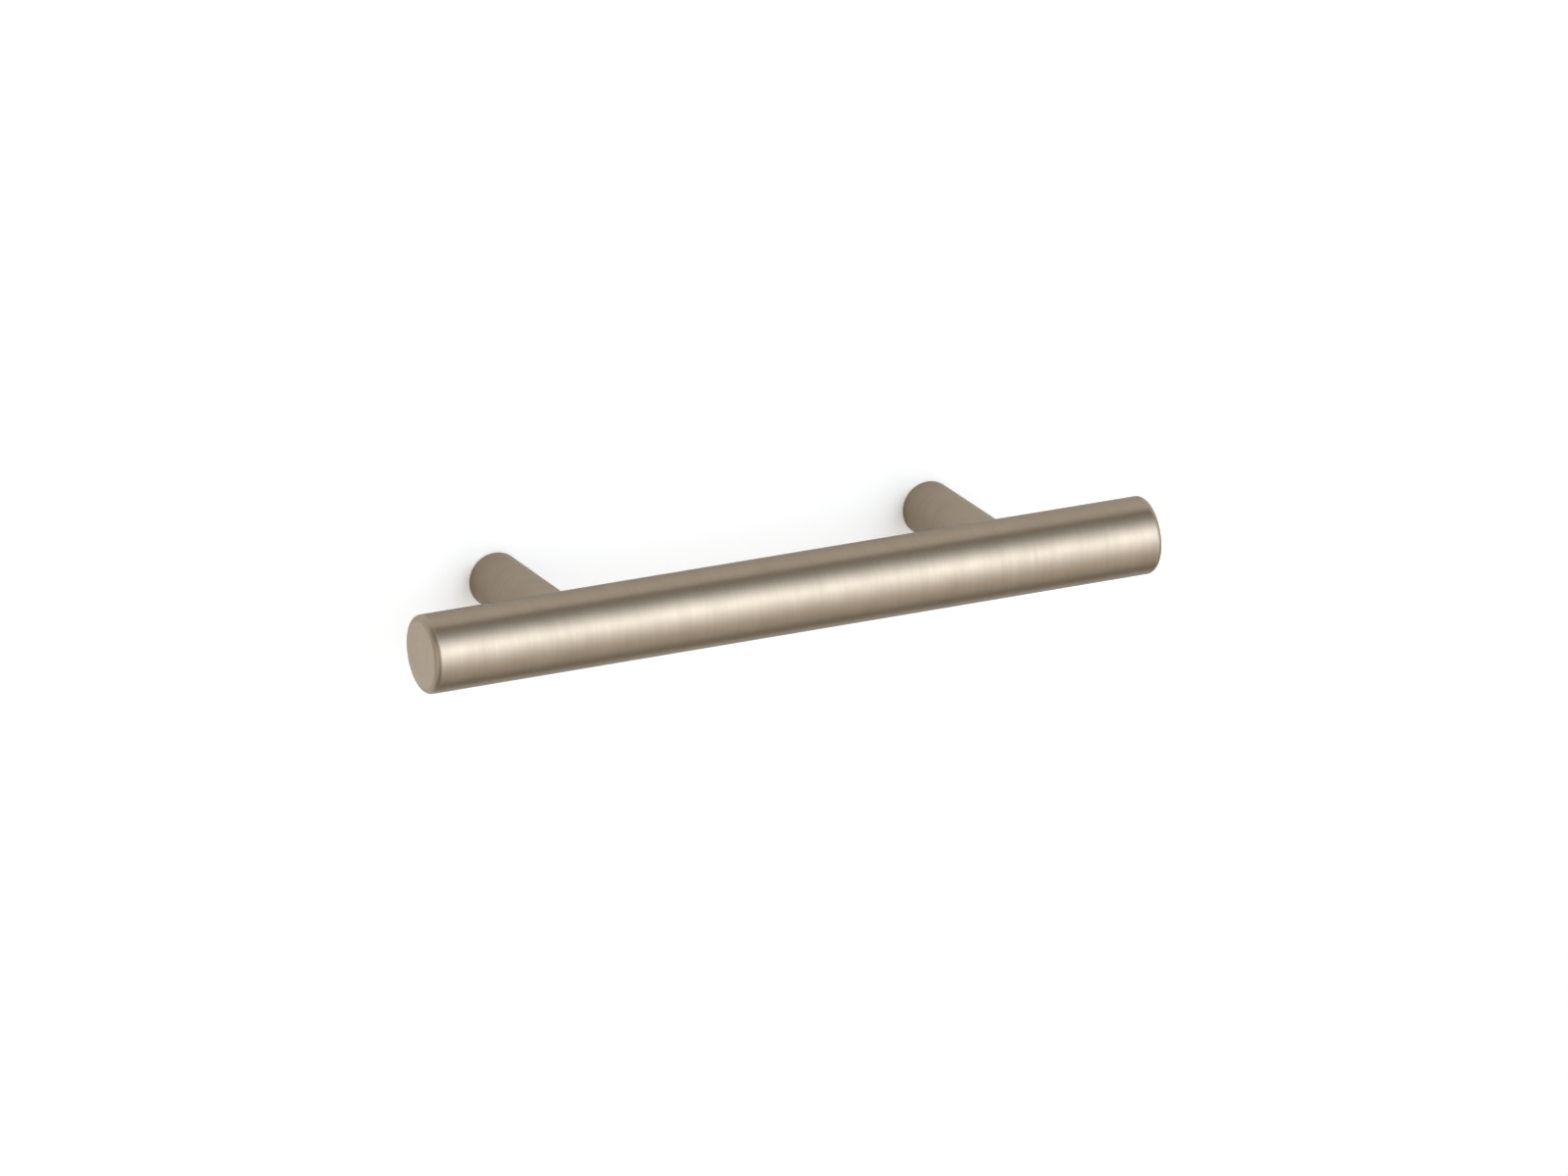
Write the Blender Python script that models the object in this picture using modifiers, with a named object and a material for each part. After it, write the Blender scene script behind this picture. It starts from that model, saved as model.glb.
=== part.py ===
"""A round bar cabinet pull: one straight bar held off a door or drawer front by two posts.

The mounting surface is the plane z = 0 and the origin lies on it midway between the two feet.
X runs along the bar, and Z points out of the mounting surface, towards the hand. The posts are
turned rod with one tapped hole right through. Each seats in a counterbore on the back of the bar,
and a headless set screw joins the two. The other end of the tapped hole takes the mounting screw.
"""

import math

import bmesh
import bpy

# Driving sizes, in metres
BAR_LENGTH = 0.127
BAR_DIAMETER = 0.0127
BAR_EDGE_RADIUS = 0.001
BAR_FRONT_WALL = 0.003
HOLE_CENTRES = 0.0762
PROJECTION = 0.034925
POST_DIAMETER = 0.009
POST_EDGE_RADIUS = 0.0003
SEAT_SIDE_DEPTH = 0.0004
THREAD_DIAMETER = 0.00417
STUD_LENGTH = 0.0127
STUD_CHAMFER = 0.0004
COUNTERSINK_WIDTH = 0.0004
SOCKET_ACROSS_FLATS = 0.002
SOCKET_DEPTH = 0.0025
DRILL_POINT_ANGLE = math.radians(118)

# Clearances, in metres
SEAT_RADIAL_CLEARANCE = 0.0001
SEAT_FLOOR_GAP = 0.0003
THREAD_CLEARANCE = 0.0001
STUD_END_GAP = 0.0005
CUTTER_OVERRUN = 0.001

# Facets round each turned piece and along each rounded edge
BAR_STEPS = 96
POST_STEPS = 64
STUD_STEPS = 32
BAR_EDGE_STEPS = 6
POST_EDGE_STEPS = 3
SHARP_ANGLE = math.radians(30)
MERGE_DISTANCE = 0.00001

# Sizes that follow from the driving ones
BAR_RADIUS = BAR_DIAMETER / 2
POST_RADIUS = POST_DIAMETER / 2
HOLE_RADIUS = THREAD_DIAMETER / 2 + THREAD_CLEARANCE
BAR_AXIS_HEIGHT = PROJECTION - BAR_RADIUS
SEAT_RADIUS = POST_RADIUS + SEAT_RADIAL_CLEARANCE
SEAT_MOUTH_HEIGHT = BAR_AXIS_HEIGHT - math.sqrt(BAR_RADIUS**2 - SEAT_RADIUS**2)
SEAT_FLOOR_HEIGHT = SEAT_MOUTH_HEIGHT + SEAT_SIDE_DEPTH
POST_LENGTH = SEAT_FLOOR_HEIGHT - SEAT_FLOOR_GAP
BAR_HOLE_TIP_HEIGHT = PROJECTION - BAR_FRONT_WALL
BAR_HOLE_END_HEIGHT = BAR_HOLE_TIP_HEIGHT - HOLE_RADIUS / math.tan(DRILL_POINT_ANGLE / 2)
STUD_TOP_HEIGHT = BAR_HOLE_END_HEIGHT - STUD_END_GAP
STUD_BOTTOM_HEIGHT = STUD_TOP_HEIGHT - STUD_LENGTH

# The left post is the one at the viewer's left, seen from the front
SIDES = {"left": -HOLE_CENTRES / 2, "right": HOLE_CENTRES / 2}

# Finishes: linear colour, metallic value and roughness
FINISHES = {
    "brushed_bronze": ((0.31, 0.255, 0.19), 1.0, 0.34),
    "zinc_plated_steel": ((0.56, 0.57, 0.58), 1.0, 0.3),
}


def clear_scene():
    """Empty the scene, and drop the meshes and materials that nothing uses any more."""
    for obj in list(bpy.data.objects):
        bpy.data.objects.remove(obj, do_unlink=True)
    for stock in (bpy.data.meshes, bpy.data.materials, bpy.data.collections):
        for block in list(stock):
            if block.users == 0:
                stock.remove(block)


def new_collection(name):
    """Add a collection of this name to the scene."""
    collection = bpy.data.collections.new(name)
    bpy.context.scene.collection.children.link(collection)
    return collection


def new_material(name):
    """Make the metal that FINISHES describes under this name."""
    colour, metallic, roughness = FINISHES[name]
    material = bpy.data.materials.new(name)
    material.use_nodes = True
    shader = material.node_tree.nodes["Principled BSDF"]
    shader.inputs["Base Color"].default_value = (*colour, 1.0)
    shader.inputs["Metallic"].default_value = metallic
    shader.inputs["Roughness"].default_value = roughness
    material.diffuse_color = (*colour, 1.0)
    return material


def rounded_corner(centre_radius, centre_height, radius, start_angle, steps):
    """Return the points of a quarter round that turns clockwise from start_angle, in degrees."""
    points = []
    for step in range(steps + 1):
        angle = math.radians(start_angle - 90 * step / steps)
        points.append((centre_radius + radius * math.cos(angle), centre_height + radius * math.sin(angle)))
    return points


def turned(name, profile, steps, closed, collection):
    """Turn a profile of (radius, height) points about Z with a Screw modifier.

    The profile runs down its outer side, from the top to the bottom. A closed one goes back up
    through its bore, and an open one starts and ends on the axis.
    """
    mesh = bpy.data.meshes.new(name)
    count = len(profile)
    edges = [(index, index + 1) for index in range(count - 1)]
    if closed:
        edges.append((count - 1, 0))
    mesh.from_pydata([(radius, 0.0, height) for radius, height in profile], edges, [])
    obj = bpy.data.objects.new(name, mesh)
    collection.objects.link(obj)
    screw = obj.modifiers.new("Turn", "SCREW")
    screw.axis = "Z"
    screw.angle = math.tau
    screw.steps = steps
    screw.render_steps = steps
    screw.use_merge_vertices = True
    screw.merge_threshold = MERGE_DISTANCE
    return obj


def as_cutter(obj):
    """Mark an object as a cutter, which is drawn as wires and never rendered."""
    obj.display_type = "WIRE"
    obj.hide_render = True
    return obj


def cut(obj, cutter):
    """Take the cutter's shape out of the object."""
    boolean = obj.modifiers.new(f"Cut {cutter.name}", "BOOLEAN")
    boolean.operation = "DIFFERENCE"
    boolean.solver = "EXACT"
    boolean.object = cutter


def finish_piece(obj, material):
    """Apply the modifiers, give the piece its metal, and shade its round faces smooth."""
    depsgraph = bpy.context.evaluated_depsgraph_get()
    shaped = bpy.data.meshes.new_from_object(obj.evaluated_get(depsgraph), depsgraph=depsgraph)
    profile = obj.data
    obj.modifiers.clear()
    obj.data = shaped
    bpy.data.meshes.remove(profile)
    shaped.name = obj.name
    shaped.materials.clear()
    shaped.materials.append(material)
    shaped.shade_smooth()
    shaped.set_sharp_from_angle(angle=SHARP_ANGLE)


def seat_cutter(side, x, cutters):
    """Make the counterbore that a post seats in and the blind tapped hole beyond it.

    It starts below the back of the bar, so that the counterbore opens through the round surface.
    """
    mouth = BAR_AXIS_HEIGHT - BAR_RADIUS - CUTTER_OVERRUN
    profile = [
        (0.0, BAR_HOLE_TIP_HEIGHT),
        (HOLE_RADIUS, BAR_HOLE_END_HEIGHT),
        (HOLE_RADIUS, SEAT_FLOOR_HEIGHT),
        (SEAT_RADIUS, SEAT_FLOOR_HEIGHT),
        (SEAT_RADIUS, mouth),
        (0.0, mouth),
    ]
    cutter = turned(f"seat_cutter_{side}", profile, POST_STEPS, False, cutters)
    cutter.location.x = x
    return as_cutter(cutter)


def make_bar(pull, cutters):
    """Make the bar: round rod with softly rounded end edges and two counterbored seats."""
    half = BAR_LENGTH / 2
    core = BAR_RADIUS - BAR_EDGE_RADIUS
    inset = half - BAR_EDGE_RADIUS
    profile = [(0.0, half)]
    profile += rounded_corner(core, inset, BAR_EDGE_RADIUS, 90, BAR_EDGE_STEPS)
    profile += rounded_corner(core, -inset, BAR_EDGE_RADIUS, 0, BAR_EDGE_STEPS)
    profile += [(0.0, -half)]
    bar = turned("bar", profile, BAR_STEPS, False, pull)
    bar.rotation_euler.y = math.radians(90)
    bar.location.z = BAR_AXIS_HEIGHT
    for side, x in SIDES.items():
        cut(bar, seat_cutter(side, x, cutters))
    return bar


def make_post(side, x, pull):
    """Make one post: turned rod, tapped right through, with a countersunk foot and a flat seat."""
    core = POST_RADIUS - POST_EDGE_RADIUS
    mouth_radius = HOLE_RADIUS + COUNTERSINK_WIDTH
    profile = rounded_corner(core, POST_LENGTH - POST_EDGE_RADIUS, POST_EDGE_RADIUS, 90, POST_EDGE_STEPS)
    profile += rounded_corner(core, POST_EDGE_RADIUS, POST_EDGE_RADIUS, 0, POST_EDGE_STEPS)
    profile += [
        (mouth_radius, 0.0),
        (HOLE_RADIUS, COUNTERSINK_WIDTH),
        (HOLE_RADIUS, POST_LENGTH - COUNTERSINK_WIDTH),
        (mouth_radius, POST_LENGTH),
    ]
    post = turned(f"post_{side}", profile, POST_STEPS, True, pull)
    post.location.x = x
    return post


def socket_cutter(side, x, cutters):
    """Make the hexagonal prism that cuts the stud's socket, open at the stud's lower end."""
    height = SOCKET_DEPTH + CUTTER_OVERRUN
    corner_radius = SOCKET_ACROSS_FLATS / 2 / math.cos(math.radians(30))
    mesh = bpy.data.meshes.new(f"socket_cutter_{side}")
    shape = bmesh.new()
    bmesh.ops.create_cone(
        shape,
        cap_ends=True,
        segments=6,
        radius1=corner_radius,
        radius2=corner_radius,
        depth=height,
    )
    shape.to_mesh(mesh)
    shape.free()
    cutter = bpy.data.objects.new(mesh.name, mesh)
    cutters.objects.link(cutter)
    cutter.location = (x, 0.0, STUD_BOTTOM_HEIGHT + SOCKET_DEPTH - height / 2)
    return as_cutter(cutter)


def make_joining_stud(side, x, pull, cutters):
    """Make one headless set screw, with chamfered ends and a hexagonal socket facing the foot."""
    radius = THREAD_DIAMETER / 2
    end_radius = radius - STUD_CHAMFER
    profile = [
        (0.0, STUD_TOP_HEIGHT),
        (end_radius, STUD_TOP_HEIGHT),
        (radius, STUD_TOP_HEIGHT - STUD_CHAMFER),
        (radius, STUD_BOTTOM_HEIGHT + STUD_CHAMFER),
        (end_radius, STUD_BOTTOM_HEIGHT),
        (0.0, STUD_BOTTOM_HEIGHT),
    ]
    stud = turned(f"joining_stud_{side}", profile, STUD_STEPS, False, pull)
    stud.location.x = x
    cut(stud, socket_cutter(side, x, cutters))
    return stud


def main():
    """Build the pull's five pieces: the bar, two posts and two joining studs."""
    clear_scene()
    pull = new_collection("cabinet_pull")
    cutters = new_collection("cutters")
    bronze = new_material("brushed_bronze")
    steel = new_material("zinc_plated_steel")

    bronze_pieces = [make_bar(pull, cutters)]
    steel_pieces = []
    for side, x in SIDES.items():
        bronze_pieces.append(make_post(side, x, pull))
        steel_pieces.append(make_joining_stud(side, x, pull, cutters))

    for piece in bronze_pieces:
        finish_piece(piece, bronze)
    for piece in steel_pieces:
        finish_piece(piece, steel)


main()
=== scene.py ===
"""The looks of a round bar cabinet pull in brushed bronze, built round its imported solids.

The frame has its mounting surface at z = 0, X along the bar and Z out of the surface. The bar, the
posts and the joining studs are made again as fine surfaces, with the seats, edges and threads that
a turned and tapped pull has, and each takes its main sizes from the solid that it stands for.
"""

import logging
import math
from dataclasses import dataclass
from enum import Enum
from functools import cache

import bmesh
import bpy
import numpy as np
from mathutils import Matrix, Vector


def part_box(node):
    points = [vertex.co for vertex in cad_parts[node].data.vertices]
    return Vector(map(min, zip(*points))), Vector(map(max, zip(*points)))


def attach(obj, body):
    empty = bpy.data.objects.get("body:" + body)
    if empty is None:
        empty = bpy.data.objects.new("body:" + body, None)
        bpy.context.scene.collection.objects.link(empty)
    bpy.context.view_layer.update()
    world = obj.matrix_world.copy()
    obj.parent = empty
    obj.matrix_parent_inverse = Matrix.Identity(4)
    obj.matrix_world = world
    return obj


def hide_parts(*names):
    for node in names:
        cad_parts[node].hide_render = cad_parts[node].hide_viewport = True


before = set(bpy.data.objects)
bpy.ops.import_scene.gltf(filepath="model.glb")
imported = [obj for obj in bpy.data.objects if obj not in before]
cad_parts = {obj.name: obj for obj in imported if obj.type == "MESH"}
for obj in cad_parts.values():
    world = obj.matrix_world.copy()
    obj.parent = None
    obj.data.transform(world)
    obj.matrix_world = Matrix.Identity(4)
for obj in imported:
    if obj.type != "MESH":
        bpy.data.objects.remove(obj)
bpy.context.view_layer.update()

LOG = logging.getLogger("cabinet_pull")
BODY = "root"
MM = 0.001
UV_NAME = "turned"
MERGE_DISTANCE = 0.0005 * MM
SHARP_ANGLE = math.radians(35)

# The gap at a post's end, between it and the floor of its seat, as the solids have it
SEAT_GAP = 0.3 * MM

# Where most values of a noise node lie
NOISE_LOW = 0.32
NOISE_HIGH = 0.68


class Side(Enum):
    """Which post, as the viewer in front of the pull sees it."""

    LEFT = "left"
    RIGHT = "right"


class Face(Enum):
    """Which finish a patch of the bar or a post takes: its place in the piece's material slots."""

    BRUSHED = 0
    END = 1
    MACHINED = 2
    EDGE = 3


@dataclass(frozen=True)
class Finish:
    """A metal finish, drawn on the turned UV map, whose U runs along the piece's profile.

    Lines across U are cutter or brush lines: they run round the piece. The anisotropic lobe is long
    along U, across those lines, as on any brushed metal. The wider bands are several lines wide,
    and a line runs for more than one drift patch before it changes.
    """

    name: str
    colour: tuple[float, float, float]
    roughness: float
    anisotropy: float = 0.0
    edge_tint: float = 1.0
    line_width: float = 0.09 * MM
    line_depth: float = 0.004 * MM
    line_detail: float = 3.0
    line_run: float = 1.6
    band_lines: int = 9
    band_share: float = 0.4
    drift_size: float = 5 * MM
    drift_share: float = 0.3
    soft_detail: float = 2.0
    tone_spread: float = 0.08
    roughness_spread: float = 0.06

    def material(self) -> bpy.types.Material:
        """Build the finish as a node material.

        Returns:
            A material with a Principled shader whose colour, roughness and bump vary by noise.
        """
        material = bpy.data.materials.new(self.name)
        material.use_nodes = True
        tree = material.node_tree
        shader = tree.nodes["Principled BSDF"]
        shader.inputs["Metallic"].default_value = 1.0
        shader.inputs["Anisotropic"].default_value = self.anisotropy
        shader.inputs["Specular Tint"].default_value = (self.edge_tint,) * 3 + (1.0,)
        lines = self._lines(tree, self.line_width, self.line_detail)
        bands = self._lines(tree, self.band_lines * self.line_width, self.soft_detail)
        drift = self._drift(tree)
        shade = self._blend(tree, lines, bands, self.band_share)
        tone = self._blend(tree, shade, drift, self.drift_share)
        self._ramp_colour(tree, tone, shader.inputs["Base Color"])
        self._ramp_roughness(tree, tone, shader.inputs["Roughness"])
        self._bump(tree, shade, shader.inputs["Normal"])
        if self.anisotropy > 0:
            tangent = tree.nodes.new("ShaderNodeTangent")
            tangent.direction_type = "UV_MAP"
            tangent.uv_map = UV_NAME
            tree.links.new(tangent.outputs["Tangent"], shader.inputs["Tangent"])
        return material

    def _lines(self, tree: bpy.types.NodeTree, width: float, detail: float) -> bpy.types.NodeSocket:
        """Noise that changes over one line width along U and only slowly round the piece.

        Args:
            tree: The material's nodes.
            width: The mean width of a line, in metres.
            detail: How many finer octaves the noise has.

        Returns:
            The noise value's socket.
        """
        uv = tree.nodes.new("ShaderNodeUVMap")
        uv.uv_map = UV_NAME
        parts = tree.nodes.new("ShaderNodeSeparateXYZ")
        along = tree.nodes.new("ShaderNodeMath")
        along.operation = "DIVIDE"
        along.inputs[1].default_value = width
        place = tree.nodes.new("ShaderNodeTexCoord")
        slow = tree.nodes.new("ShaderNodeVectorMath")
        slow.operation = "SCALE"
        slow.inputs["Scale"].default_value = 1 / (self.line_run * self.drift_size)
        noise = tree.nodes.new("ShaderNodeTexNoise")
        noise.noise_dimensions = "4D"
        noise.inputs["Scale"].default_value = 1.0
        noise.inputs["Detail"].default_value = detail
        tree.links.new(uv.outputs["UV"], parts.inputs["Vector"])
        tree.links.new(parts.outputs["X"], along.inputs[0])
        tree.links.new(place.outputs["Object"], slow.inputs["Vector"])
        tree.links.new(slow.outputs["Vector"], noise.inputs["Vector"])
        tree.links.new(along.outputs["Value"], noise.inputs["W"])
        return noise.outputs["Fac"]

    def _drift(self, tree: bpy.types.NodeTree) -> bpy.types.NodeSocket:
        """Soft patches a few millimetres across, as a hand-fed brush leaves them.

        Args:
            tree: The material's nodes.

        Returns:
            The noise value's socket.
        """
        place = tree.nodes.new("ShaderNodeTexCoord")
        noise = tree.nodes.new("ShaderNodeTexNoise")
        noise.inputs["Scale"].default_value = 1 / self.drift_size
        noise.inputs["Detail"].default_value = self.soft_detail
        tree.links.new(place.outputs["Object"], noise.inputs["Vector"])
        return noise.outputs["Fac"]

    def _blend(
        self,
        tree: bpy.types.NodeTree,
        first: bpy.types.NodeSocket,
        second: bpy.types.NodeSocket,
        share: float,
    ) -> bpy.types.NodeSocket:
        """Mix two noise values.

        Args:
            tree: The material's nodes.
            first: The first value's socket.
            second: The second value's socket.
            share: The second one's share of the sum.

        Returns:
            The mixed value's socket.
        """
        mix = tree.nodes.new("ShaderNodeMix")
        mix.inputs["Factor"].default_value = share
        tree.links.new(first, mix.inputs["A"])
        tree.links.new(second, mix.inputs["B"])
        return mix.outputs["Result"]

    def _ramp_colour(
        self, tree: bpy.types.NodeTree, tone: bpy.types.NodeSocket, target: bpy.types.NodeSocket
    ) -> None:
        """Spread the colour a little darker and lighter with the tone.

        Args:
            tree: The material's nodes.
            tone: A noise value's socket.
            target: The colour socket to drive.
        """
        ramp = tree.nodes.new("ShaderNodeValToRGB")
        ends = ((NOISE_LOW, 1 - self.tone_spread), (NOISE_HIGH, 1 + self.tone_spread))
        for element, (position, level) in zip(ramp.color_ramp.elements, ends):
            element.position = position
            element.color = (*(channel * level for channel in self.colour), 1.0)
        tree.links.new(tone, ramp.inputs["Fac"])
        tree.links.new(ramp.outputs["Color"], target)

    def _ramp_roughness(
        self, tree: bpy.types.NodeTree, tone: bpy.types.NodeSocket, target: bpy.types.NodeSocket
    ) -> None:
        """Make the darker strokes a little rougher.

        Args:
            tree: The material's nodes.
            tone: A noise value's socket.
            target: The roughness socket to drive.
        """
        spread = tree.nodes.new("ShaderNodeMapRange")
        spread.inputs["From Min"].default_value = NOISE_LOW
        spread.inputs["From Max"].default_value = NOISE_HIGH
        spread.inputs["To Min"].default_value = self.roughness + self.roughness_spread / 2
        spread.inputs["To Max"].default_value = self.roughness - self.roughness_spread / 2
        tree.links.new(tone, spread.inputs["Value"])
        tree.links.new(spread.outputs["Result"], target)

    def _bump(
        self, tree: bpy.types.NodeTree, height: bpy.types.NodeSocket, target: bpy.types.NodeSocket
    ) -> None:
        """Sink the brush lines into the surface.

        Args:
            tree: The material's nodes.
            height: The lines' noise value.
            target: The normal socket to drive.
        """
        bump = tree.nodes.new("ShaderNodeBump")
        bump.inputs["Strength"].default_value = 1.0
        bump.inputs["Distance"].default_value = self.line_depth
        tree.links.new(height, bump.inputs["Height"])
        tree.links.new(bump.outputs["Normal"], target)


# The metals' colours, as linear red, green and blue. The post and edge bronze and the end face
# bronze are the bronze painted lighter: painted light.
BRONZE = (0.314, 0.25, 0.183)
# Painted light: the bronze painted about a tenth lighter for the posts and the bar's rounded end
# edges, to stand in for the brighter board and room that they would mirror
POST_AND_EDGE_BRONZE_PAINTED_LIGHTER = (0.345, 0.275, 0.201)
# Painted light: the bronze painted about a quarter lighter for the bar's end faces, to stand in for
# the brighter light that the ends show
END_FACE_BRONZE_PAINTED_LIGHTER = (0.39, 0.308, 0.223)
ZINC = (0.56, 0.57, 0.58)

BRUSHED_BRONZE = Finish(
    "bronze_brushed_round", BRONZE, roughness=0.33, anisotropy=0.3, edge_tint=0.6
)
LINISHED_END = Finish(
    "bronze_linished_end",
    END_FACE_BRONZE_PAINTED_LIGHTER,
    roughness=0.34,
    edge_tint=0.95,
    line_width=0.25 * MM,
    line_depth=0.001 * MM,
)
EASED_EDGE = Finish("bronze_eased_edge", POST_AND_EDGE_BRONZE_PAINTED_LIGHTER, roughness=0.4, edge_tint=0.9)
BRUSHED_POST = Finish(
    "bronze_brushed_post", POST_AND_EDGE_BRONZE_PAINTED_LIGHTER, roughness=0.42, anisotropy=0.3, edge_tint=0.75
)
MACHINED_BRONZE = Finish("bronze_machined_bore", BRONZE, roughness=0.3, line_depth=0.002 * MM)
ZINC_PLATE = Finish("steel_zinc_plate", ZINC, roughness=0.3, line_depth=0.002 * MM)


@dataclass
class Patch:
    """A grid of points on a surface, with a UV pair at each point and the finish it takes."""

    points: np.ndarray
    uv: np.ndarray
    face: Face = Face.BRUSHED

    def corners(self, first: int) -> np.ndarray:
        """Number the four corners of each cell of the grid.

        Args:
            first: The number of the grid's first point in the whole mesh.

        Returns:
            An array of cells by four point numbers.
        """
        rows, columns = self.points.shape[:2]
        number = np.arange(first, first + rows * columns).reshape(rows, columns)
        cell = (number[:-1, :-1], number[:-1, 1:], number[1:, 1:], number[1:, :-1])
        return np.stack(cell, axis=-1).reshape(-1, 4)


def piece_from_patches(
    name: str, patches: list[Patch], finishes: list[Finish]
) -> bpy.types.Object:
    """Sew patches into one closed mesh, with its faces pointing out.

    Args:
        name: The piece's name.
        patches: Grids whose edges meet point by point.
        finishes: The finishes, in the order that Face numbers them.

    Returns:
        The mesh object, at the origin, in the scene.
    """
    points = np.concatenate([patch.points.reshape(-1, 3) for patch in patches])
    uv = np.concatenate([patch.uv.reshape(-1, 2) for patch in patches])
    starts = np.cumsum([0] + [patch.points.shape[0] * patch.points.shape[1] for patch in patches])
    cells = [patch.corners(start) for patch, start in zip(patches, starts)]
    slots = [np.full(len(cell), patch.face.value) for cell, patch in zip(cells, patches)]
    corners = np.concatenate(cells)

    mesh = bpy.data.meshes.new(name)
    mesh.vertices.add(len(points))
    mesh.vertices.foreach_set("co", points.astype(np.float32).ravel())
    mesh.loops.add(corners.size)
    mesh.loops.foreach_set("vertex_index", corners.astype(np.int32).ravel())
    mesh.polygons.add(len(corners))
    mesh.polygons.foreach_set("loop_start", np.arange(0, corners.size, 4, dtype=np.int32))
    mesh.update(calc_edges=True)
    mesh.polygons.foreach_set("material_index", np.concatenate(slots).astype(np.int32))
    layer = mesh.uv_layers.new(name=UV_NAME)
    layer.data.foreach_set("uv", uv[corners.ravel()].astype(np.float32).ravel())

    sewn = bmesh.new()
    sewn.from_mesh(mesh)
    bmesh.ops.remove_doubles(sewn, verts=sewn.verts, dist=MERGE_DISTANCE)
    bmesh.ops.recalc_face_normals(sewn, faces=sewn.faces)
    sewn.to_mesh(mesh)
    sewn.free()
    mesh.shade_smooth()
    mesh.set_sharp_from_angle(angle=SHARP_ANGLE)
    for finish in finishes:
        mesh.materials.append(finish_material(finish))
    piece = bpy.data.objects.new(name, mesh)
    bpy.context.scene.collection.objects.link(piece)
    return piece


@cache
def finish_material(finish: Finish) -> bpy.types.Material:
    """Return the finish's material, made the first time that it is asked for."""
    return finish.material()


def quarter_round(radius: float, steps: int) -> tuple[np.ndarray, np.ndarray]:
    """Points of a quarter circle: radius times the cosine and the sine of 0 to 90 degrees.

    Args:
        radius: The circle's radius.
        steps: How many chords the quarter has.

    Returns:
        The points' distances along the first and second direction.
    """
    angle = np.linspace(0, math.pi / 2, steps + 1)
    return radius * np.cos(angle), radius * np.sin(angle)


def profile_length(radius: np.ndarray, height: np.ndarray) -> np.ndarray:
    """Length along a profile from its first point to each of its points."""
    step = np.hypot(np.diff(radius), np.diff(height))
    return np.concatenate([[0.0], np.cumsum(step)])


@dataclass(frozen=True)
class Thread:
    """A right-hand screw thread about a vertical line, with flat crests and 60 degree flanks.

    Its radius at angle a and height z depends only on the fraction of z / pitch - a / a full turn.
    The flats on the crests and roots and the depth are in pitches, and a nut's thread stands off a
    screw's by the nut clearance.
    """

    major_radius: float
    pitch: float = 0.79375 * MM
    crest: float = 1 / 8
    root: float = 1 / 4
    depth_in_pitches: float = 0.5413
    nut_clearance: float = 0.03 * MM

    def radius(
        self, angle: np.ndarray, height: np.ndarray, clearance: float = 0.0
    ) -> np.ndarray:
        """Radius of the thread's surface.

        Args:
            angle: Angles about the thread's line, in radians.
            height: Heights along it, in metres.
            clearance: How far the surface stands off the screw's own.

        Returns:
            The radius at each angle and height, broadcast over both.
        """
        turn = height / self.pitch - angle / math.tau
        off_crest = np.abs(turn - np.round(turn))
        flank = (off_crest - self.crest / 2) / (0.5 - self.crest / 2 - self.root / 2)
        depth = self.pitch * self.depth_in_pitches * np.clip(flank, 0, 1)
        return self.major_radius + clearance - depth

    def rows(self, low: float, high: float, per_pitch: int) -> np.ndarray:
        """Heights from low to high, close enough together to show the thread."""
        count = max(2, int(round((high - low) / self.pitch * per_pitch)))
        return np.linspace(low, high, count + 1)


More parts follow.
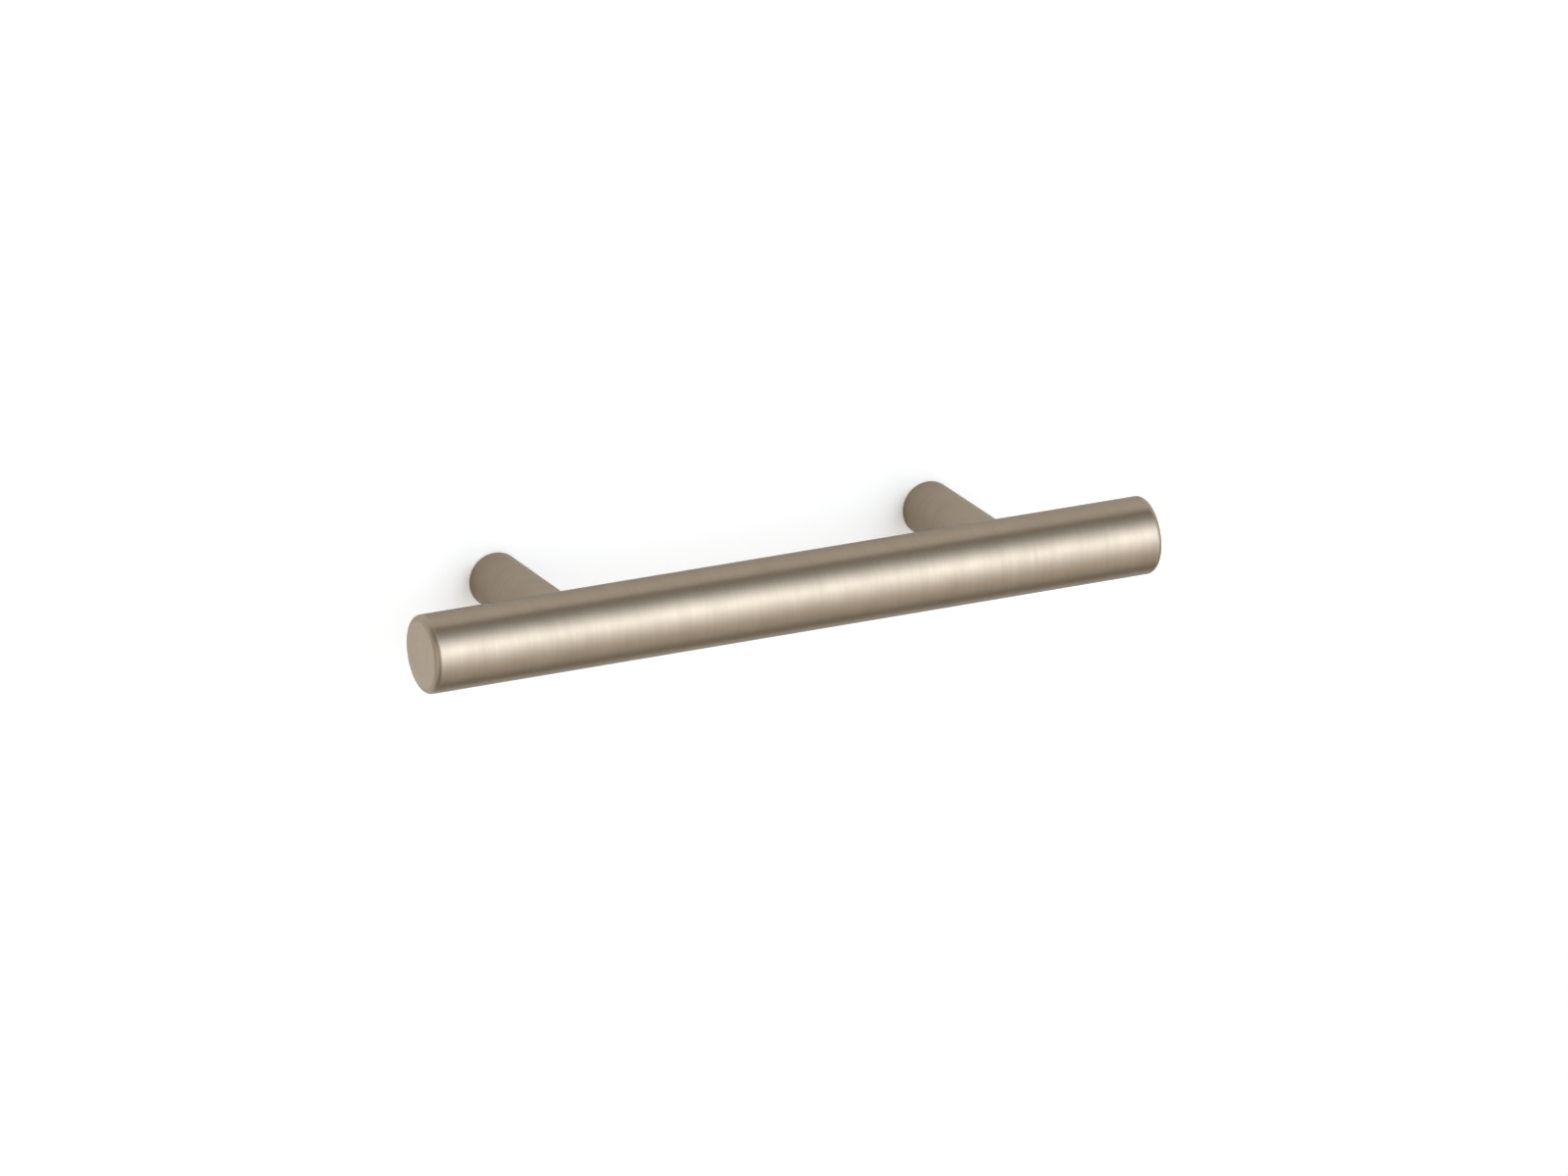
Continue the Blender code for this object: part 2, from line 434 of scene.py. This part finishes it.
@dataclass
class Bar:
    """The bar: round rod with softly rounded end edges, and a counterbored seat for each post.

    Its side is a grid of lines along the rod and rings round it. Round each seat the grid has a
    window, which a fan of straight lines from the window's edge to the seat's rim fills.
    """

    length: float
    diameter: float
    axis_height: float
    post_lines: list[float]
    post_radius: float
    seat_floor: float
    thread: Thread
    edge_radius: float = 1.0 * MM
    crown_angle: float = math.radians(2)
    crown_steps: int = 12
    edge_steps: int = 10
    end_strip: float = 0.18 * MM
    columns: int = 128
    window_columns: int = 44
    window_half_length: float = 6.6 * MM
    window_cells: int = 20
    cell_length: float = 2 * MM
    fan_rings: int = 7
    seat_clearance: float = 0.04 * MM
    rim_chamfer: float = 0.05 * MM
    hole_mouth: float = 0.35 * MM
    hole_end: float = 30.45 * MM
    drill_radius: float = 1.73 * MM
    drill_half_angle: float = math.radians(59)
    rows_per_pitch: int = 8

    @property
    def radius(self) -> float:
        """Half the bar's diameter."""
        return self.diameter / 2

    @property
    def inset(self) -> float:
        """Where along X the straight side ends: the centre of the rounded edge."""
        sweep = self.crown_radius - self.edge_radius
        return self.length / 2 - self.crown_radius + sweep * math.cos(self.crown_angle)

    @property
    def crown_radius(self) -> float:
        """Radius of the ball that the end is part of, so that the rounded edge runs on from it."""
        return self.edge_radius + (self.radius - self.edge_radius) / math.sin(self.crown_angle)

    @property
    def end_length(self) -> float:
        """Profile length of one end, from its centre to the start of the straight side."""
        edge = math.pi / 2 - self.crown_angle
        return self.crown_radius * self.crown_angle + self.edge_radius * edge

    def around(self) -> np.ndarray:
        """Angles of the lines along the bar. The first ones span the window under the bar."""
        step = math.tau / self.columns
        return -math.pi / 2 + step * (np.arange(self.columns + 1) - self.window_columns / 2)

    def lengthwise(self) -> np.ndarray:
        """Space the rings round the straight side evenly between its stops.

        The stops are the side's ends, a narrow strip inside each, and the windows' edges.

        Returns:
            The rings' places along X, from left to right.
        """
        inset = self.inset
        stops = [-inset, -inset + self.end_strip]
        for line in self.post_lines:
            stops += [line - self.window_half_length, line + self.window_half_length]
        stops += [inset - self.end_strip, inset]
        runs = []
        for start, stop in zip(stops[:-1], stops[1:]):
            middle = (start + stop) / 2
            if any(abs(middle - line) < MERGE_DISTANCE for line in self.post_lines):
                cells = self.window_cells
            else:
                cells = max(1, round((stop - start) / self.cell_length))
            runs.append(np.linspace(start, stop, cells + 1)[:-1])
        return np.concatenate(runs + [[inset]])

    def _uv(self, x: np.ndarray, angle: np.ndarray) -> np.ndarray:
        """UV on the side: U is the length along the profile from the left end's centre."""
        u = self.end_length + x + self.inset
        return np.stack(np.broadcast_arrays(u, (angle + math.pi) / math.tau), axis=-1)

    def _side(self, x: np.ndarray, angle: np.ndarray) -> Patch:
        """A stretch of the cylinder: (x, R cos a, axis height + R sin a) over a grid of x and a.

        Args:
            x: Places along the bar.
            angle: Angles round it.

        Returns:
            The stretch.
        """
        x, angle = np.meshgrid(x, angle, indexing="ij")
        y = self.radius * np.cos(angle)
        z = self.axis_height + self.radius * np.sin(angle)
        return Patch(np.stack([x, y, z], axis=-1), self._uv(x, angle))

    def sides(self) -> list[Patch]:
        """The whole side but for the two windows.

        Returns:
            The part that the windows' angles leave, then the stretches between the windows.
        """
        x = self.lengthwise()
        angle = self.around()
        window = angle[: self.window_columns + 1]
        patches = [self._side(x, angle[self.window_columns :])]
        edges = [x[0]]
        for line in self.post_lines:
            edges += [line - self.window_half_length, line + self.window_half_length]
        edges.append(x[-1])
        for start, stop in zip(edges[::2], edges[1::2]):
            within = (x > start - MERGE_DISTANCE) & (x < stop + MERGE_DISTANCE)
            patches.append(self._side(x[within], window))
        return patches

    def end(self, sign: int) -> list[Patch]:
        """One end: a slightly crowned face, then a rounded edge that meets the side.

        At a lean a of the surface from square, the crown has radius C sin a and place
        L / 2 - C + C cos a, and the edge has radius R - e + e sin a and place inset + e cos a.

        Args:
            sign: -1 for the left end and 1 for the right.

        Returns:
            The crown and the rounded edge.
        """
        crown = np.linspace(0, self.crown_angle, self.crown_steps + 1)
        edge = np.linspace(self.crown_angle, math.pi / 2, self.edge_steps + 1)[1:]
        core = self.radius - self.edge_radius
        apex = self.length / 2 - self.crown_radius
        edge_radius = core + self.edge_radius * np.sin(edge)
        edge_place = self.inset + self.edge_radius * np.cos(edge)
        radius = np.concatenate([self.crown_radius * np.sin(crown), edge_radius])
        place = np.concatenate([apex + self.crown_radius * np.cos(crown), edge_place])
        run = profile_length(radius, place)
        u = run if sign < 0 else 2 * (self.end_length + self.inset) - run
        last = self.crown_steps
        return [
            self._rings(sign * place[: last + 1], radius[: last + 1], u[: last + 1], Face.END),
            self._rings(sign * place[last:], radius[last:], u[last:], Face.EDGE),
        ]

    def _rings(self, x: np.ndarray, radius: np.ndarray, u: np.ndarray, face: Face) -> Patch:
        """Rings about the bar's axis: (x, r cos a, axis height + r sin a).

        Args:
            x: Each ring's place along the bar.
            radius: Each ring's radius.
            u: Each ring's length along the profile.
            face: The finish that the patch takes.

        Returns:
            The patch that the rings bound.
        """
        angle = self.around()[None, :]
        ring = radius[:, None]
        points = [x[:, None], ring * np.cos(angle), self.axis_height + ring * np.sin(angle)]
        uv = np.broadcast_arrays(u[:, None], (angle + math.pi) / math.tau)
        return Patch(np.stack(np.broadcast_arrays(*points), axis=-1), np.stack(uv, axis=-1), face)

    def _window_edge(self) -> tuple[np.ndarray, np.ndarray]:
        """The edge of the window round a seat: two lines along the bar and two arcs across it.

        Returns:
            The edge's points once round, as X and Y from the post's line.
        """
        x = np.linspace(-self.window_half_length, self.window_half_length, self.window_cells + 1)
        y = self.radius * np.cos(self.around()[: self.window_columns + 1])
        across = np.concatenate(
            [x[:-1], np.full(len(y) - 1, x[-1]), x[:0:-1], np.full(len(y) - 1, x[0]), x[:1]]
        )
        up = np.concatenate(
            [np.full(len(x) - 1, y[0]), y[:-1], np.full(len(x) - 1, y[-1]), y[:0:-1], y[:1]]
        )
        return across, up

    def seat(self, line: float) -> list[Patch]:
        """The window round one seat, the seat's wall and floor, and the tapped hole beyond.

        A fan point goes in a straight line, seen from below, from the window's edge to the rim, and
        its height is the axis height less the root of R squared less y squared. The hole is rings
        about the post's line: (line + r cos a, r sin a, z).

        Args:
            line: Where along X the post stands.

        Returns:
            The fan on the bar's side, and the hole as rings that share the fan's columns.
        """
        across, up = self._window_edge()
        turn = np.arctan2(up, across)
        seat_radius = self.post_radius + self.seat_clearance
        rim = seat_radius + self.rim_chamfer
        share = np.linspace(1, 0, self.fan_rings + 1)[:, None]
        x = rim * np.cos(turn) * (1 - share) + across * share
        y = rim * np.sin(turn) * (1 - share) + up * share
        drop = np.sqrt(self.radius**2 - y**2)
        angle = np.arctan2(-drop, y)
        fan_points = np.stack([line + x, y, self.axis_height - drop], axis=-1)
        fan = Patch(fan_points, self._uv(line + x, angle))

        wall_top = self.axis_height - np.sqrt(self.radius**2 - (rim * np.sin(turn)) ** 2)
        nut = self.thread
        low = self.seat_floor + self.hole_mouth
        heights = nut.rows(low, self.hole_end - nut.pitch, self.rows_per_pitch)
        threaded = nut.radius(turn[None, :], heights[:, None], nut.nut_clearance)
        mouth = nut.major_radius + self.hole_mouth
        open_ring = np.ones_like(turn)
        tip = self.hole_end + self.drill_radius / math.tan(self.drill_half_angle)
        rings = [
            (rim * open_ring, wall_top),
            (seat_radius * open_ring, wall_top + self.rim_chamfer),
            (seat_radius * open_ring, self.seat_floor * open_ring),
            (mouth * open_ring, self.seat_floor * open_ring),
            *((ring, height * open_ring) for ring, height in zip(threaded, heights)),
            (self.drill_radius * open_ring, (self.hole_end - nut.pitch / 2) * open_ring),
            (self.drill_radius * open_ring, self.hole_end * open_ring),
            (0 * open_ring, tip * open_ring),
        ]
        radius = np.array([ring for ring, _ in rings])
        height = np.array([place for _, place in rings])
        points = [line + radius * np.cos(turn), radius * np.sin(turn), height]
        run = profile_length(radius[:, 0], height[:, 0])[:, None]
        uv = np.broadcast_arrays(run, np.linspace(0, 1, turn.size)[None, :])
        hole = Patch(np.stack(points, axis=-1), np.stack(uv, axis=-1), Face.MACHINED)
        return [fan, hole]

    def build(self) -> bpy.types.Object:
        """Build the bar as one closed mesh.

        Returns:
            The bar, which stands for the CAD node bar.
        """
        patches = self.sides() + self.end(-1) + self.end(1)
        for line in self.post_lines:
            patches += self.seat(line)
        finishes = [BRUSHED_BRONZE, LINISHED_END, MACHINED_BRONZE, EASED_EDGE]
        piece = piece_from_patches("bar_brushed", patches, finishes)
        return dress(piece, "bar")


@dataclass
class Post:
    """A post: turned rod with lightly rounded edges, tapped right through."""

    side: Side
    line: float
    length: float
    diameter: float
    thread: Thread
    edge_radius: float = 0.3 * MM
    edge_steps: int = 6
    edge_support: float = 0.04 * MM
    side_rows: int = 12
    columns: int = 96
    mouth: float = 0.45 * MM
    rows_per_pitch: int = 12

    def outside(self) -> tuple[np.ndarray, np.ndarray]:
        """The outer profile: foot, rounded edge, straight side, rounded edge and top.

        Returns:
            The radius and the height of its points, from the foot's mouth up to the top's mouth.
        """
        radius = self.diameter / 2
        core = radius - self.edge_radius
        out, up = quarter_round(self.edge_radius, self.edge_steps)
        mouth = self.thread.major_radius + self.mouth
        straight = (self.edge_radius, self.length - self.edge_radius)
        side = np.linspace(*straight, self.side_rows + 2)[1:-1]
        radii = [[mouth, core - self.edge_support], core + up, np.full(len(side), radius)]
        radii += [core + out, [core - self.edge_support, mouth]]
        heights = [[0, 0], self.edge_radius - out, side]
        heights += [self.length - self.edge_radius + up, [self.length, self.length]]
        return np.concatenate(radii), np.concatenate(heights)

    def patches(self) -> list[Patch]:
        """The outer profile turned about the post's line, and the thread inside it.

        The bore's radius is the thread's, or the mouth's radius less the distance from the nearer
        end where that is more.

        Returns:
            The shell and the bore.
        """
        angle = np.linspace(0, math.tau, self.columns + 1)[None, :]
        radius, height = self.outside()
        run = profile_length(radius, height)[:, None]
        shell = self._turned(radius[:, None], height[:, None], run, angle, Face.BRUSHED)
        height = self.thread.rows(0, self.length, self.rows_per_pitch)[:, None]
        mouth = self.thread.major_radius + self.mouth
        to_end = np.minimum(height, self.length - height)
        threaded = self.thread.radius(angle, height, self.thread.nut_clearance)
        bore = np.maximum(threaded, mouth - to_end)
        return [shell, self._turned(bore, height, height, angle, Face.MACHINED)]

    def _turned(
        self,
        radius: np.ndarray,
        height: np.ndarray,
        run: np.ndarray,
        angle: np.ndarray,
        face: Face,
    ) -> Patch:
        """Turn a profile about the post's line: (line + r cos a, r sin a, z).

        Args:
            radius: The surface's radius at each height, and at each angle where it differs.
            height: The heights, as a column.
            run: The length along the profile, as a column.
            angle: The angles, as a row.
            face: The finish that the patch takes.

        Returns:
            The turned patch.
        """
        x = self.line + radius * np.cos(angle)
        points = np.broadcast_arrays(x, radius * np.sin(angle), height)
        uv = np.broadcast_arrays(run, angle / math.tau)
        return Patch(np.stack(points, axis=-1), np.stack(uv, axis=-1), face)

    def build(self) -> bpy.types.Object:
        """Build the post as one closed mesh.

        Returns:
            The post, which stands for the CAD node of its side.
        """
        name = f"post_{self.side.value}"
        finishes = [BRUSHED_POST, LINISHED_END, MACHINED_BRONZE]
        piece = piece_from_patches(f"{name}_turned", self.patches(), finishes)
        return dress(piece, name)


@dataclass
class JoiningStud:
    """A headless set screw with chamfered ends and a hexagonal socket that faces the foot."""

    side: Side
    line: float
    bottom: float
    top: float
    thread: Thread
    chamfer: float = 0.4 * MM
    socket_across_flats: float = 2.0 * MM
    socket_depth: float = 2.5 * MM
    socket_point: float = 0.4 * MM
    columns: int = 48
    rows_per_pitch: int = 12

    def _hexagon(self, angle: np.ndarray) -> np.ndarray:
        """Radius of the socket at an angle: its flat's distance over the cosine off that flat.

        Args:
            angle: Angles about the stud's line.

        Returns:
            The radius at each.
        """
        sector = math.radians(60)
        off_flat = (angle + sector / 2) % sector - sector / 2
        return self.socket_across_flats / 2 / np.cos(off_flat)

    def build(self) -> bpy.types.Object:
        """Build the stud as one closed mesh: socket, lower face, thread and top face.

        It is rings about the stud's line: (line + r cos a, r sin a, z). The thread's radius goes no
        further out than the chamfers.

        Returns:
            The stud, which stands for the CAD node of its side.
        """
        angle = np.linspace(0, math.tau, self.columns + 1)[None, :]
        height = self.thread.rows(self.bottom, self.top, self.rows_per_pitch)[:, None]
        to_end = np.minimum(height - self.bottom, self.top - height)
        flank = self.thread.major_radius - self.chamfer + to_end
        body = np.minimum(self.thread.radius(angle, height), flank)
        ring = np.ones_like(angle)
        hexagon = self._hexagon(angle)
        floor = self.bottom + self.socket_depth
        radius = np.concatenate([0 * ring, hexagon, hexagon, body, 0 * ring])
        socket = [[floor + self.socket_point], [floor], [self.bottom]]
        place = np.concatenate([socket, height, [[self.top]]])
        x = self.line + radius * np.cos(angle)
        points = np.broadcast_arrays(x, radius * np.sin(angle), place)
        run = profile_length(radius[:, 0], place[:, 0])[:, None]
        uv = np.broadcast_arrays(run, angle / math.tau)
        patch = Patch(np.stack(points, axis=-1), np.stack(uv, axis=-1))
        name = f"joining_stud_{self.side.value}"
        piece = piece_from_patches(f"{name}_threaded", [patch], [ZINC_PLATE])
        return dress(piece, name)


def dress(piece: bpy.types.Object, node: str) -> bpy.types.Object:
    """Put a piece on the pull's body in a CAD node's place.

    Args:
        piece: The new piece.
        node: The CAD node that it stands for.

    Returns:
        The piece.
    """
    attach(piece, BODY)
    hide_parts(node)
    return piece


@dataclass(frozen=True)
class Glow:
    """A soft window of light in the sky, as a large diffuser gives it.

    Its middle direction leans from straight out of the board towards Y and X, in degrees. On a
    plane that this direction meets squarely, u and v are the offsets from the middle over the
    window's half width and half height. The brightness is the level times the exponential of minus
    (u squared + v squared) to a power: a power under 1 makes a bright core with wide skirts. It
    ends where a direction is nearly edge-on to the plane.
    """

    level: float
    lean_y: float
    lean_x: float
    half_width: float
    half_height: float
    power: float = 1.0
    colour: tuple[float, float, float] = (1.0, 1.0, 1.0)
    edge_on: float = 0.02

    def axes(self) -> tuple[Vector, Vector, Vector]:
        """Work out how the window stands.

        Returns:
            The direction of its middle, and the directions of its width and height.
        """
        y, x = math.radians(self.lean_y), math.radians(self.lean_x)
        middle = Vector((math.sin(x), math.cos(x) * math.sin(y), math.cos(x) * math.cos(y)))
        right = Vector((0, math.cos(y), -math.sin(y))).cross(middle).normalized()
        return middle, right, middle.cross(right)

    def add_to(
        self, tree: bpy.types.NodeTree, direction: bpy.types.NodeSocket
    ) -> bpy.types.NodeSocket:
        """Work out the glow in a direction.

        Args:
            tree: The world's nodes.
            direction: The unit direction's socket.

        Returns:
            The glow's colour, as a vector socket.
        """
        middle, right, up = self.axes()
        facing = self._dot(tree, direction, middle)
        ahead = math_node(tree, "MAXIMUM", facing, self.edge_on)
        u = math_node(tree, "DIVIDE", self._dot(tree, direction, right / self.half_width), ahead)
        v = math_node(tree, "DIVIDE", self._dot(tree, direction, up / self.half_height), ahead)
        u_squared = math_node(tree, "MULTIPLY", u, u)
        v_squared = math_node(tree, "MULTIPLY", v, v)
        fall = math_node(tree, "POWER", math_node(tree, "ADD", u_squared, v_squared), self.power)
        shape = math_node(tree, "EXPONENT", math_node(tree, "MULTIPLY", fall, -1.0))
        in_front = math_node(tree, "GREATER_THAN", facing, self.edge_on)
        tint = tree.nodes.new("ShaderNodeVectorMath")
        tint.operation = "SCALE"
        tint.inputs[0].default_value = Vector(self.colour) * self.level
        tree.links.new(math_node(tree, "MULTIPLY", shape, in_front), tint.inputs["Scale"])
        return tint.outputs["Vector"]

    def _dot(
        self, tree: bpy.types.NodeTree, direction: bpy.types.NodeSocket, axis: Vector
    ) -> bpy.types.NodeSocket:
        """Measure a direction along an axis.

        Args:
            tree: The world's nodes.
            direction: The unit direction's socket.
            axis: The axis.

        Returns:
            The socket of the direction's component along the axis, times the axis's length.
        """
        node = tree.nodes.new("ShaderNodeVectorMath")
        node.operation = "DOT_PRODUCT"
        node.inputs[1].default_value = axis
        tree.links.new(direction, node.inputs[0])
        return node.outputs["Value"]


def math_node(
    tree: bpy.types.NodeTree,
    operation: str,
    first: bpy.types.NodeSocket | float,
    second: bpy.types.NodeSocket | float = 0.0,
) -> bpy.types.NodeSocket:
    """Add a Math node.

    Args:
        tree: The nodes that it joins.
        operation: The node's operation.
        first: A socket or a number.
        second: A socket or a number, which an operation on one value ignores.

    Returns:
        The result's socket.
    """
    node = tree.nodes.new("ShaderNodeMath")
    node.operation = operation
    for socket, value in zip(node.inputs, (first, second)):
        if isinstance(value, bpy.types.NodeSocket):
            tree.links.new(value, socket)
        else:
            socket.default_value = value
    return node.outputs["Value"]


@dataclass
class Studio:
    """A white board that the pull stands on, in an even pale room with five soft windows.

    The key window sits where the bar mirrors it towards the camera. The board is as narrow as the
    one in the photograph, so the bar's two rims mirror its edges and then the dimmer room. The
    left and right windows are low and light the two end edges. The left one reaches below the
    board's level, and the right one gives the feet their shadows. The faint front window stands
    over the camera and lights the last of the left edge.
    """

    board_x: tuple[float, float] = (-0.13, 0.6)
    board_y: tuple[float, float] = (-0.095, 0.314)
    board_white: tuple[float, float, float] = (0.923, 0.889, 0.844)
    eye_lift: float = 0.18
    mirror_lift: float = 0.01
    room: tuple[float, float, float] = (0.312, 0.3, 0.28)
    below: tuple[float, float, float] = (0.475, 0.465, 0.44)
    key: Glow = Glow(
        level=6.62,
        lean_y=17.7,
        lean_x=22.8,
        half_width=0.15,
        half_height=0.389,
        power=0.441,
        colour=(0.835, 1.0, 1.22),
    )
    fill: Glow = Glow(level=1.09, lean_y=-18.5, lean_x=33.2, half_width=0.4, half_height=1.493)
    left: Glow = Glow(level=0.92, lean_y=-18.0, lean_x=-66.0, half_width=0.65, half_height=1.0)
    front: Glow = Glow(level=0.8, lean_y=12.0, lean_x=-25.0, half_width=0.25, half_height=0.4)
    right: Glow = Glow(level=1.4, lean_y=19.0, lean_x=70.0, half_width=0.42, half_height=0.42)

    def board(self) -> bpy.types.Object:
        """Lay the board, a plain rectangle at z = 0.

        Returns:
            The board.
        """
        left, right = self.board_x
        low, high = self.board_y
        mesh = bpy.data.meshes.new("board")
        corners = [(left, low, 0), (right, low, 0), (right, high, 0), (left, high, 0)]
        mesh.from_pydata(corners, [], [(0, 1, 2, 3)])
        mesh.materials.append(self._board_material())
        board = bpy.data.objects.new("board", mesh)
        bpy.context.scene.collection.objects.link(board)
        return board

    def _board_material(self) -> bpy.types.Material:
        """White paint that the eye and the metal see lifted to white, with its shadows kept.

        Returns:
            A diffuse material, with an emission that only camera, glossy and transmission rays see.
        """
        material = bpy.data.materials.new("white_board")
        material.use_nodes = True
        tree = material.node_tree
        tree.nodes.clear()
        output = tree.nodes.new("ShaderNodeOutputMaterial")
        paint = tree.nodes.new("ShaderNodeBsdfDiffuse")
        paint.inputs["Color"].default_value = (*self.board_white, 1.0)
        lift = tree.nodes.new("ShaderNodeEmission")
        path = tree.nodes.new("ShaderNodeLightPath")
        glossy, through = path.outputs["Is Glossy Ray"], path.outputs["Is Transmission Ray"]
        mirrored = math_node(tree, "MAXIMUM", glossy, through)
        by_metal = math_node(tree, "MULTIPLY", mirrored, self.mirror_lift)
        by_eye = math_node(tree, "MULTIPLY", path.outputs["Is Camera Ray"], self.eye_lift)
        both = tree.nodes.new("ShaderNodeAddShader")
        tree.links.new(math_node(tree, "ADD", by_metal, by_eye), lift.inputs["Strength"])
        tree.links.new(paint.outputs["BSDF"], both.inputs[0])
        tree.links.new(lift.outputs["Emission"], both.inputs[1])
        tree.links.new(both.outputs["Shader"], output.inputs["Surface"])
        return material

    def _add(
        self, tree: bpy.types.NodeTree, first: bpy.types.NodeSocket, second: bpy.types.NodeSocket
    ) -> bpy.types.NodeSocket:
        """Add two colours.

        Args:
            tree: The world's nodes.
            first: A colour's vector socket.
            second: The other's.

        Returns:
            The sum's vector socket.
        """
        added = tree.nodes.new("ShaderNodeVectorMath")
        added.operation = "ADD"
        tree.links.new(first, added.inputs[0])
        tree.links.new(second, added.inputs[1])
        return added.outputs["Vector"]

    def _room_light(self, tree: bpy.types.NodeTree) -> bpy.types.NodeSocket:
        """The room's even light with the windows over it, and one plain tone below the horizon.

        Only the left window goes on below the horizon.

        Args:
            tree: The world's nodes.

        Returns:
            The light's colour, as a vector socket.
        """
        sky = tree.nodes.new("ShaderNodeTexCoord")
        unit = tree.nodes.new("ShaderNodeVectorMath")
        unit.operation = "NORMALIZE"
        tree.links.new(sky.outputs["Generated"], unit.inputs[0])
        direction = unit.outputs["Vector"]
        room = tree.nodes.new("ShaderNodeCombineXYZ")
        for socket, value in zip(room.inputs, self.room):
            socket.default_value = value
        total = room.outputs["Vector"]
        for glow in (self.key, self.fill, self.front, self.right):
            total = self._add(tree, total, glow.add_to(tree, direction))
        height = tree.nodes.new("ShaderNodeSeparateXYZ")
        tree.links.new(direction, height.inputs["Vector"])
        under = tree.nodes.new("ShaderNodeMix")
        under.data_type = "VECTOR"
        under.inputs["B"].default_value = self.below
        is_under = math_node(tree, "LESS_THAN", height.outputs["Z"], 0.0)
        tree.links.new(is_under, under.inputs["Factor"])
        tree.links.new(total, under.inputs["A"])
        return self._add(tree, under.outputs["Result"], self.left.add_to(tree, direction))

    def light(self) -> bpy.types.World:
        """Light the studio.

        Returns:
            The world, with the room's light. The camera alone sees it plain white.
        """
        world = bpy.data.worlds.new("studio_room")
        world.use_nodes = True
        tree = world.node_tree
        lit = tree.nodes["Background"]
        tree.links.new(self._room_light(tree), lit.inputs["Color"])
        white = tree.nodes.new("ShaderNodeBackground")
        white.inputs["Color"].default_value = (1.0, 1.0, 1.0, 1.0)
        path = tree.nodes.new("ShaderNodeLightPath")
        shown = tree.nodes.new("ShaderNodeMixShader")
        tree.links.new(path.outputs["Is Camera Ray"], shown.inputs["Fac"])
        tree.links.new(lit.outputs["Background"], shown.inputs[1])
        tree.links.new(white.outputs["Background"], shown.inputs[2])
        tree.links.new(shown.outputs["Shader"], tree.nodes["World Output"].inputs["Surface"])
        bpy.context.scene.world = world
        return world


@dataclass
class PhotoCamera:
    """A camera that stands where the photograph's did, with the same field of view.

    Its angles are those seen from the mounting surface: azimuth to the right of straight out, and
    elevation towards Y, the photograph's upright. All were fitted to the pull's outline.
    """

    azimuth: float = math.radians(-24.366)
    elevation: float = math.radians(18.836)
    roll: float = math.radians(-1.142)
    distance: float = 2634.1 * MM
    target: tuple[float, float, float] = (3.389 * MM, -2.114 * MM, 20 * MM)
    focal_pixels: float = 16876.8
    image_width: int = 1600
    sensor_width: float = 36.0
    clip_start: float = 0.1
    clip_end: float = 100.0

    def place(self) -> bpy.types.Object:
        """Create the camera and make it the scene's own.

        Returns:
            The camera.
        """
        level = math.cos(self.elevation)
        x, z = math.sin(self.azimuth) * level, math.cos(self.azimuth) * level
        back = Vector((x, math.sin(self.elevation), z))
        right = Vector((0, 1, 0)).cross(back).normalized()
        up = back.cross(right)
        rolled_right = right * math.cos(self.roll) + up * math.sin(self.roll)
        rolled_up = up * math.cos(self.roll) - right * math.sin(self.roll)
        data = bpy.data.cameras.new("photo_camera")
        data.sensor_fit = "HORIZONTAL"
        data.sensor_width = self.sensor_width
        data.lens = self.focal_pixels / self.image_width * self.sensor_width
        data.clip_start = self.clip_start
        data.clip_end = self.clip_end
        camera = bpy.data.objects.new("photo_camera", data)
        axes = Matrix((rolled_right, rolled_up, back)).transposed()
        place = Vector(self.target) + back * self.distance
        camera.matrix_world = Matrix.Translation(place) @ axes.to_4x4()
        bpy.context.scene.collection.objects.link(camera)
        bpy.context.scene.camera = camera
        return camera


def report(piece: bpy.types.Object) -> None:
    """Log a finished piece's name and its number of faces."""
    LOG.info("%s: %d faces", piece.name, len(piece.data.polygons))


def main() -> None:
    """Build the pull's pieces from the frame, then the studio and the camera."""
    logging.basicConfig(level=logging.INFO, format="%(name)s: %(message)s")
    bar_low, bar_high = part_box("bar")
    posts = {side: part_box(f"post_{side.value}") for side in Side}
    studs = {side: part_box(f"joining_stud_{side.value}") for side in Side}
    lines = {side: (low.x + high.x) / 2 for side, (low, high) in posts.items()}
    post_low, post_high = posts[Side.LEFT]
    stud_low, stud_high = studs[Side.LEFT]
    thread = Thread(major_radius=(stud_high.x - stud_low.x) / 2)
    bar = Bar(
        length=bar_high.x - bar_low.x,
        diameter=bar_high.z - bar_low.z,
        axis_height=(bar_high.z + bar_low.z) / 2,
        post_lines=[lines[side] for side in Side],
        post_radius=(post_high.x - post_low.x) / 2,
        seat_floor=post_high.z + SEAT_GAP,
        thread=thread,
    )
    report(bar.build())
    for side in Side:
        line = lines[side]
        low, high = posts[side]
        post = Post(
            side=side, line=line, length=high.z, diameter=high.x - low.x, thread=thread
        )
        report(post.build())
        low, high = studs[side]
        stud = JoiningStud(side=side, line=line, bottom=low.z, top=high.z, thread=thread)
        report(stud.build())

    studio = Studio()
    studio.board()
    studio.light()
    PhotoCamera().place()
    bpy.context.scene.view_settings.view_transform = "Standard"


if __name__ == "__main__":
    main()
